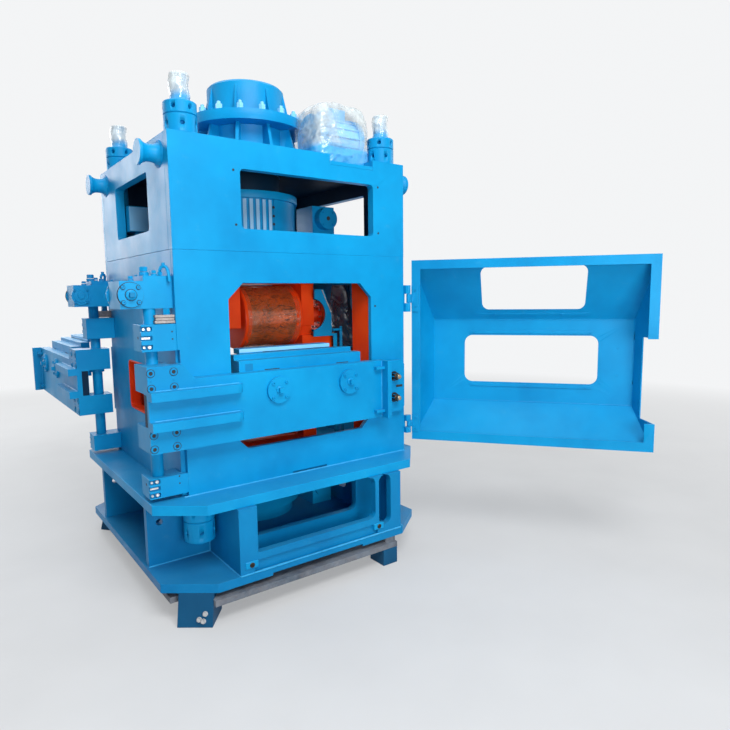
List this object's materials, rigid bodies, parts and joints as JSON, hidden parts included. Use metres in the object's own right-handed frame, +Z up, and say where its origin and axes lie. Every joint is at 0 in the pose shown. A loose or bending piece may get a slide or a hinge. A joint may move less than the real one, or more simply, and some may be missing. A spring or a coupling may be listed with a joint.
{
  "type": "two-roll bar straightening machine",
  "caption": "Two-roll bar straightening stand with a screw-down on its roof, hinged guide beams front and rear and a swung-open sheet door over the roll chamber",
  "frame": {"origin": "on the floor under the middle of the housing", "axes": "+X to the right along the front face and along the bar, +Y from the front to the rear, +Z up"},
  "size_m": [2.7562, 3.7751, 2.758],
  "materials": {
    "blue_paint": "semi-gloss machine enamel",
    "red_paint": "semi-gloss primer red",
    "rail_steel": "dark weathered rolled steel",
    "bare_steel": "bare turned steel",
    "roll_steel": "ground steel with light rust",
    "motor_wrap": "motor under clear packing film"
  },
  "bodies": {
    "stand": {"adjusting_sleeve": "blue_paint", "bar_inlet_liners": "red_paint", "base_front_wall": "blue_paint", "base_nuts": "blue_paint", "base_plate": "blue_paint", "base_rear_wall": "blue_paint", "base_webs": "blue_paint", "chamber_deck": "blue_paint", "chamber_lining": "red_paint", "corner_feet": "blue_paint", "door_hinge_brackets": "blue_paint", "frame_front_plate": "blue_paint", "frame_rear_plate": "blue_paint", "frame_side_plates": "blue_paint", "height_gearboxes": "blue_paint", "hinge_brackets": "blue_paint", "hinge_shafts": "bare_steel", "lifting_trunnions": "blue_paint", "lower_adjustment": "blue_paint", "lower_plate": "blue_paint", "lower_roll": "roll_steel", "roll_carriers": "red_paint", "roll_chocks": "red_paint", "roll_guard": "blue_paint", "screwdown_cap": "blue_paint", "screwdown_housing": "blue_paint", "screwdown_motor": "motor_wrap", "skid_rails": "rail_steel", "tie_rods": "bare_steel", "top_deck": "blue_paint", "top_nuts": "blue_paint", "upper_box_gear": "blue_paint", "upper_front_plate": "blue_paint", "upper_rear_plate": "blue_paint", "upper_side_plates": "blue_paint"},
    "front_beam": {"front_beam_latch": "blue_paint", "front_guide_beam": "blue_paint", "front_guide_block": "blue_paint"},
    "rear_beam": {"rear_beam_latch": "blue_paint", "rear_guide_beam": "blue_paint", "rear_guide_block": "blue_paint"},
    "door": {"door_hinge_leaves": "blue_paint", "door_pan": "blue_paint", "door_strips": "blue_paint"},
    "upper_roll_set": {"upper_roll": "roll_steel"}
  },
  "joints": [
    {"name": "front_guide_beam", "type": "hinge", "parent": "stand", "child": "front_beam", "pos_m": [-0.803, -0.565, 1], "axis": [0, 0, -1], "range_deg": [0, 110]},
    {"name": "rear_guide_beam", "type": "hinge", "parent": "stand", "child": "rear_beam", "pos_m": [-0.803, 0.565, 1], "axis": [0, 0, 1], "range_deg": [-90, 20]},
    {"name": "front_door", "type": "hinge", "parent": "stand", "child": "door", "pos_m": [0.7265, -0.6395, 1.2], "axis": [0, 0, 1], "range_deg": [-127, 0]},
    {"name": "upper_roll_spin", "type": "hinge", "parent": "stand", "child": "upper_roll_set", "pos_m": [0.03, -0.05, 1.42], "axis": [1, 0, 0], "continuous": true}
  ]
}
